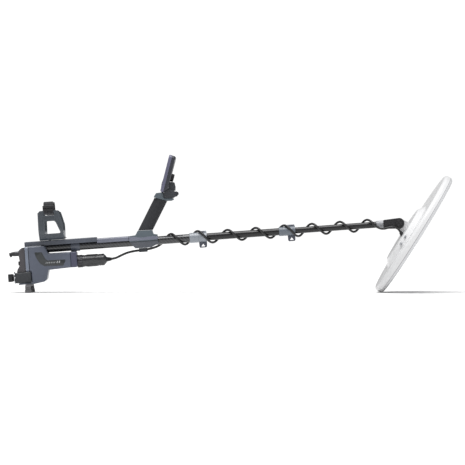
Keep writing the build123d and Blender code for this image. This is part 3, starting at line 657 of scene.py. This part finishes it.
# ------------------------------------------------------------------ box details
INLAY_OUTLINE = [(-519.7, -8), (-500, -9.2), (-490.7, -29.2), (-484.3, -32.3), (-437, -32.5),
                 (-445.6, -48), (-495.9, -46), (-506, -38.7), (-515.5, -23.4)]
BOX_HALF = 30.0
BUTTON_N, SOCKET_HOLE_N = -34.5, -8.6   # heights of the power button and the headphone socket


def side_inlays():
    """A dark inlay on each side of the box, with a plain row of pale strokes."""
    small = [bar(s, -39.6, s + 1.6, -36.2, 1.5) for s in (-491 + 4.6 * index for index in range(6))]
    large = [bar(s, -40.4, s + 2.6, -34.8, 2.2) for s in (-462.0, -456.4)]
    for side, label in ((-1, "near"), (1, "far")):
        shape = bmesh.new()
        plate(shape, rounded(INLAY_OUTLINE, 2.0), side * (BOX_HALF - 0.4), side * (BOX_HALF + 0.35))
        piece(f"side_inlay_{label}", shape, SHAFT, "frame", INLAY)
        marks = bmesh.new()
        face = side * (BOX_HALF + 0.3)
        for stroke in small + large:
            plate(marks, stroke, face, face + side * 0.12, edge=0.05)
        piece(f"side_marks_{label}", marks, SHAFT, "frame", MARK)


def screw_head(shape, x, y, z, radius, axis_turn):
    """Adds a domed screw head with a cross on it. It looks along X before it is turned."""
    start = len(shape.verts)
    dome = [(-0.8, 1.0), (0.2, 1.0), (0.7, 0.85), (0.95, 0.5), (1.0, 0.18)]
    lathe(shape, [(x, radius * share) for x, share in dome], steps=20)
    slot = bar(-radius * 0.6, 0, radius * 0.6, 0, radius * 0.22)
    for turn in (0.0, math.pi / 2):
        cross = len(shape.verts)
        plate(shape, slot, 0.9, 1.06, axis="Z", edge=0.02)
        tilted(shape, cross, Matrix.Rotation(math.pi / 2, 4, "Y") @ Matrix.Rotation(turn, 4, "Z"))
    tilted(shape, start, Matrix.Translation((x, y, z)) @ axis_turn)


def screws(name, spots, where, body, radius, axis_turn, material=STEEL):
    """A set of screw heads that look the same way, as one piece."""
    shape = bmesh.new()
    for spot in spots:
        screw_head(shape, *spot, radius, axis_turn)
    piece(name, shape, where, body, material)


def rear_details():
    """Rings moulded round the power button and the headphone socket, and the bezel's four screws."""
    button_ring = [(-560.9, 8.6), (-559.0, 8.6), (-559.0, 6.9), (-560.9, 6.9), (-561.4, 7.7)]
    socket_ring = [(-560.7, 10.2), (-559.0, 10.2), (-559.0, 9.2), (-560.7, 9.2)]
    shape = bmesh.new()
    lathe(shape, button_ring, n=BUTTON_N, closed=True)
    lathe(shape, socket_ring, n=SOCKET_HOLE_N, closed=True)
    piece("rear_button_rings", shape, SHAFT, "frame", SOFT_BACK)
    facing_back = Matrix.Rotation(math.pi, 4, "Y")
    spots = [(-544.1, side * 27.2, n) for side in (-1, 1) for n in (1.5, -52.0)]
    screws("rear_bezel_screws", spots, SHAFT, "frame", 1.7, facing_back)


def plug_details():
    """Grip ribs along the plug, and a ribbed boot where the lead leaves it."""
    rib_count = 20
    rib = rounded([(-384, -0.9), (-356, -0.9), (-356, 0.9), (-384, 0.9)], 0.8)
    ribs = bmesh.new()
    for turn in range(rib_count):
        start = len(ribs.verts)
        plate(ribs, rib, 15.4, 16.35, axis="Z")
        spin = Matrix.Rotation(math.tau * turn / rib_count, 4, "X")
        tilted(ribs, start, Matrix.Translation((0, 0, SOCKET_N)) @ spin)
    piece("plug_grip_ribs", ribs, SHAFT, "frame", PLUG)
    boot = bmesh.new()
    for index in range(4):
        s, radius = -331.6 + 3.0 * index, 6.6 - 0.65 * index
        rim = [(s, radius - 1.6), (s, radius - 0.3), (s + 0.5, radius),
               (s + 1.4, radius), (s + 1.9, radius - 0.3), (s + 1.9, radius - 1.6)]
        lathe(boot, rim, n=SOCKET_N, closed=True, steps=32)
    sleeve = [(-332.0, 3.1), (-332.0, 5.6), (-318.5, 3.9), (-318.0, 3.1)]
    lathe(boot, sleeve, n=SOCKET_N, closed=True, steps=32)
    piece("plug_boot_ribs", boot, SHAFT, "frame", RUBBER)


# ------------------------------------------------------------------ rail, cuff and strap
RAIL_TOP = 20.8


def rail_marks():
    """Printed ticks beside the slot, for setting the cuff, longer at every fifth one."""
    first, pitch, count = -528, 5, 33
    shape = bmesh.new()
    for index in range(count):
        s = first + pitch * index
        reach = 3.4 if index % 5 else 5.6
        for side in (-1, 1):
            inner = side * 9.4
            tick = bar(s, inner, s, inner + side * reach, 0.6)
            plate(shape, tick, RAIL_TOP - 0.05, RAIL_TOP + 0.06, axis="Z", edge=0.04)
    piece("rail_ticks", shape, SHAFT, "frame", INK)


STRAP_S, STRAP_HALF = -473.0, 12.0


def band(shape, line, thick, half):
    """Adds webbing along a line of (y, n) points, and keeps how far along and across each point is."""
    along = shape.verts.layers.float.get("along") or shape.verts.layers.float.new("along")
    across = shape.verts.layers.float.get("across") or shape.verts.layers.float.new("across")
    section = [(-1, -0.5), (-1, 0.5), (-0.5, 0.58), (0, 0.6), (0.5, 0.58), (1, 0.5), (1, -0.5), (0, -0.5)]
    rings = []
    gone = 0.0
    for index, spot in enumerate(line):
        before, after = line[max(index - 1, 0)], line[min(index + 1, len(line) - 1)]
        run = (after - before).normalized()
        out = Vector((-run.y, run.x))
        gone += (spot - before).length if index else 0.0
        ring = []
        for share, high in section:
            edge = spot + out * high * thick
            vert = shape.verts.new((STRAP_S + share * half, edge.x, edge.y))
            vert[along] = gone * MM
            vert[across] = share * half * MM
            ring.append(vert)
        rings.append(ring)
    for first, second in zip(rings, rings[1:]):
        for i in range(len(section)):
            j = (i + 1) % len(section)
            shape.faces.new((first[i], first[j], second[j], second[i]))
    shape.faces.new(rings[0])
    shape.faces.new(rings[-1])


def eased(points, rounds=4):
    """An open line with its corners cut again and again, which leaves a smooth curve."""
    line = [Vector(point) for point in points]
    for _ in range(rounds):
        cut = [line[0]]
        for a, b in zip(line, line[1:]):
            cut += [a.lerp(b, 0.25), a.lerp(b, 0.75)]
        line = [*cut, line[-1]]
    return line


def stitches(shape, y, n, rows, half=11, count=7):
    """Adds rows of short threads across the webbing, lying on its face away from the middle."""
    for row in range(rows):
        up = n + 2.4 * row
        for index in range(count):
            s = STRAP_S - half + (2 * half) * (index + 0.5) / count
            plate(shape, bar(s - 0.9, up, s + 0.9, up, 0.55), y, y + math.copysign(0.35, y), edge=0.15)


def strap():
    """The cuff's webbing strap: round the top bar of each wing, up, and over in one arch."""
    shape = bmesh.new()
    one_side = [(46.2, 101.5), (46.6, 94), (47.4, 88.7), (53.6, 88.2), (54.6, 94), (54.2, 108),
                (51, 117.5), (42, 120.2), (18, 120.6)]
    arch = [(-y, n) for y, n in one_side] + [(0, 120.2)] + one_side[::-1]
    band(shape, eased(arch), 1.5, STRAP_HALF)
    tongue = [(-54.8, 99.0), (-56.0, 106), (-54.6, 114), (-50, 119.9), (-42, 122.0), (-20, 122.2),
              (-6, 121.9)]
    band(shape, eased(tongue, 3), 1.3, STRAP_HALF - 0.8)
    made = piece("cuff_strap_webbing", shape, SHAFT, "cuff", WEB, 50.0)
    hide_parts("cuff_strap")
    threads = bmesh.new()
    stitches(threads, -55.35, 89.4, rows=2)
    stitches(threads, 55.35, 89.4, rows=2)
    stitches(threads, 55.1, 102.4, rows=3)
    piece("strap_stitching", threads, SHAFT, "cuff", INK)


def cuff_liner():
    """A soft liner on the cuff's floor."""
    shape = bmesh.new()
    outline = rounded([(-499, -22), (-434, -22), (-434, 22), (-499, 22)], 9)
    plate(shape, outline, 24.6, 26.4, axis="Z", edge=1.2)
    piece("cuff_liner", shape, SHAFT, "cuff", RUBBER)


# ------------------------------------------------------------------ handle and display
SEGMENTS = {"a": ((0, 1), (1, 1)), "b": ((1, 1), (1, 0.5)), "c": ((1, 0.5), (1, 0)), "d": ((0, 0), (1, 0)),
            "e": ((0, 0), (0, 0.5)), "f": ((0, 0.5), (0, 1)), "g": ((0, 0.5), (1, 0.5))}
DIGITS = {"2": "abged", "4": "fgbc"}
READOUT = "42"


def lit(shape, outline):
    """Adds a mark that shows just under the display's glass."""
    plate(shape, outline, -0.5, -0.44, axis="Z", edge=0.02)


def digits(shape, x, y, wide, high, width):
    """The readout in seven-segment figures. The display's up is +X and its right is -Y."""
    for place_of, figure in enumerate(READOUT):
        left = y - place_of * wide * 1.6
        for key in DIGITS[figure]:
            (u0, v0), (u1, v1) = SEGMENTS[key]
            run = Vector((v1 - v0, -(u1 - u0))).normalized() * width * 0.55
            start = (x + v0 * high + run.x, left - u0 * wide + run.y)
            end = (x + v1 * high - run.x, left - u1 * wide - run.y)
            lit(shape, bar(*start, *end, width))


def display_marks():
    """What the display shows: a figure, a scale of ticks, bars and a battery, all generic."""
    window_top, window_half = 86.5, 32
    shape = bmesh.new()
    digits(shape, 50, 13, wide=12.5, high=21, width=2.6)
    for index in range(25):
        angle = math.radians(-72 + 6 * index)
        ends = [(48.0 + reach * math.cos(angle), -reach * math.sin(angle) * 0.95)
                for reach in (29.0, 32.0 if index % 4 else 34.2)]
        if all(x < window_top and abs(y) < window_half for x, y in ends):
            lit(shape, bar(*ends[0], *ends[1], 0.8))
    for index in range(8):
        y, high = 26 - 4.2 * index, 5.0 if index < 5 else 1.6
        lit(shape, bar(38, y, 38 + high, y, 2.6))
    cell = [(38, -27), (42.5, -27), (42.5, -18), (38, -18)]
    for a, b in zip(cell, cell[1:] + cell[:1]):
        lit(shape, bar(*a, *b, 0.6))
    for y in (-25.0, -22.5):
        lit(shape, bar(39, y, 41.5, y, 1.5))
    piece("display_readout", shape, PANEL, "frame", LIT)


PAD_X, PAD_TOP, KEY_TOP = 17, 1.35, 1.15        # the keys' row in the panel frame, and their heights


def printed_on(shape, outline, top):
    """Adds a thin printed mark to the top of a key."""
    plate(shape, outline, top, top + 0.11, axis="Z", edge=0.03)


def key_marks():
    """Arrows on the direction pad, and a plain mark on each of the two keys."""
    shape = bmesh.new()
    arrow = [Vector((9.0, 0)), Vector((6.6, 1.7)), Vector((6.6, -1.7))]
    for turn in range(4):
        spin = Matrix.Rotation(turn * math.pi / 2, 2)
        printed_on(shape, [tuple(spin @ corner + Vector((PAD_X, 0))) for corner in arrow], PAD_TOP)
    piece("pad_arrows", shape, PANEL, "direction_pad", MARK)
    dome = bmesh.new()
    plate(dome, oval(PAD_X, 0, 4.6, 4.6), 1.2, 1.9, axis="Z", edge=0.6)
    piece("pad_centre", dome, PANEL, "direction_pad", DARK)
    menu = bmesh.new()
    for x in (15.2, 17.0, 18.8):
        printed_on(menu, bar(x, -28.2, x, -23.8, 0.7), KEY_TOP)
    piece("menu_key_mark", menu, PANEL, "menu_key", MARK)
    back = bmesh.new()
    for stroke in ((17, 23.8, 17, 28.2), (17, 28.2, 19, 26.4), (17, 28.2, 15, 26.4)):
        printed_on(back, bar(*stroke, 0.7), KEY_TOP)
    piece("back_key_mark", back, PANEL, "back_key", MARK)


def speaker_holes():
    """A round grid of small discs on the speaker's cap, which stand for its sound holes."""
    pitch, reach = 2.4, 7.6
    shape = bmesh.new()
    for row in range(-3, 4):
        for column in range(-3, 4):
            x, y = pitch * row, pitch * column + (pitch / 2 if row % 2 else 0.0)
            if math.hypot(x, y) < reach:
                plate(shape, oval(38 + x, y, 0.75, 0.75, 12), -25.7, -26.02, axis="Z", edge=0.1)
    piece("speaker_holes", shape, PANEL, "frame", BLACK)


def panel_screws():
    """The four screws in the back of the display panel."""
    facing_down = Matrix.Rotation(math.pi / 2, 4, "Y")
    spots = [(x, side * 33, -17.6) for x in (10, 84) for side in (-1, 1)]
    screws("panel_back_screws", spots, PANEL, "frame", 2.0, facing_down)


def clamp_trim():
    """The paler lip round the handle's clamp on both sides, and the bolt heads on the far one."""
    lip = [(-268.6, 3.4), (-196.0, 3.4), (-190.6, 6.0), (-190.6, 10.0),
           (-203.0, 12.8), (-236.0, 10.6), (-258.0, 14.6), (-268.6, 14.6)]
    for side, label in ((-1, "near"), (1, "far")):
        shape = bmesh.new()
        plate(shape, rounded(lip, 1.6), side * 16.0, side * 17.1, edge=0.6)
        piece(f"clamp_lip_{label}", shape, SHAFT, "frame", COVER)
    turn = Matrix.Rotation(-math.pi / 2, 4, "X")
    spots = [(s, 17.0, 7.6) for s in (-256.0, -202.0)]
    screws("clamp_bolts", spots, SHAFT, "frame", 2.6, turn, ANODISED)


def handle_core():
    """The cores inside the handle's top and the knuckle, which close their joints to the light."""
    core_half = 10.0
    head = [(-178.7, 122.6), (-172.8, 127.2), (-167.5, 124.8), (-159.9, 118.2), (-148.4, 111.4),
            (-145.6, 108.2), (-145.8, 105.7), (-157.0, 103.0), (-164.6, 102.5), (-190.5, 110.8),
            (-190.2, 115.4)]
    knuckle = [(-165.5, 129.6), (-156.8, 139.7), (-150.8, 149.0), (-140.1, 148.2),
               (-138.7, 131.1), (-141.6, 127.8), (-165.1, 124.2)]
    shape = bmesh.new()
    for outline in (head, knuckle):
        plate(shape, outline, -core_half, core_half)
    piece("handle_core", shape, SHAFT, "frame", DARK)


# ------------------------------------------------------------------ coil
def coil_details():
    """Small plugs set into the platform's flanks."""
    outlines = [rounded([(x - 4, 18.6), (x + 4, 18.6), (x + 4, 22.6), (x - 4, 22.6)], 1.9)
                for x in (-42.0, -21.0)]
    for side, label in ((-1, "near"), (1, "far")):
        shape = bmesh.new()
        for outline in outlines:
            plate(shape, outline, side * 86.0, side * 96.0, edge=0.6)
        piece(f"flank_plugs_{label}", shape, COIL, "coil", FERRULE)


# ------------------------------------------------------------------ stage, light and camera
SKY_LIGHT, SKY_SEEN = 0.42, 1.05        # how bright the sky shines, and how bright it looks
SUN_LIGHT, SUN_SPREAD, SUN_TURN = 3.1, 50.0, (12.0, -6.0, 0.0)
FLOOR_HALF = 30.0


def stage():
    """A white floor, an even white sky and one wide soft sun from above."""
    middle = (CAD_BOX[0] + CAD_BOX[1]) / 2
    floor_mesh = bpy.data.meshes.new("floor")
    signs = ((-1, -1), (1, -1), (1, 1), (-1, 1))
    corners = [(middle.x + x * FLOOR_HALF, middle.y + y * FLOOR_HALF, 0.0) for x, y in signs]
    floor_mesh.from_pydata(corners, [], [(0, 1, 2, 3)])
    floor = bpy.data.objects.new("floor", floor_mesh)
    SCENE.collection.objects.link(floor)
    ground = Shader("floor_white")
    tone = ground.mix(ground.noise(3.0), colour(0.90, 0.90, 0.90), colour(0.92, 0.92, 0.92))
    ground.set(Base_Color=tone, Roughness=0.9)
    floor_mesh.materials.append(ground.material)

    world = bpy.data.worlds.new("studio")
    world.use_nodes = True
    sky = world.node_tree
    seen = sky.nodes.new("ShaderNodeLightPath").outputs["Is Camera Ray"]
    strength = sky.nodes.new("ShaderNodeMapRange")
    strength.inputs["To Min"].default_value = SKY_LIGHT
    strength.inputs["To Max"].default_value = SKY_SEEN
    sky.links.new(seen, strength.inputs["Value"])
    sky.links.new(strength.outputs[0], sky.nodes["Background"].inputs["Strength"])
    sky.nodes["Background"].inputs["Color"].default_value = colour(1.0, 1.0, 1.0)
    SCENE.world = world
    SCENE.view_settings.view_transform = "Standard"

    sun = bpy.data.lights.new("soft_sun", "SUN")
    sun.energy = SUN_LIGHT
    sun.angle = math.radians(SUN_SPREAD)
    made = bpy.data.objects.new("soft_sun", sun)
    SCENE.collection.objects.link(made)
    made.rotation_euler = [math.radians(turn) for turn in SUN_TURN]


CAMERA_FAR, VIEW_WIDTH = 7.4, 1.232
CAMERA_X, CAMERA_Z = 0.0056, 0.1587


def camera():
    """A level view from the side, along +Y, which takes in the whole object."""
    lens = bpy.data.cameras.new("camera")
    lens.sensor_width = 36.0
    lens.lens = lens.sensor_width * CAMERA_FAR / VIEW_WIDTH
    lens.clip_end = 100.0
    made = bpy.data.objects.new("camera", lens)
    SCENE.collection.objects.link(made)
    made.location = (CAMERA_X, -CAMERA_FAR, CAMERA_Z)
    made.rotation_euler = (math.pi / 2, 0.0, 0.0)
    SCENE.camera = made


camera()
cables()
dress_nodes()
side_inlays()
rear_details()
plug_details()
rail_marks()
strap()
cuff_liner()
display_marks()
key_marks()
speaker_holes()
panel_screws()
clamp_trim()
handle_core()
coil_details()
stage()
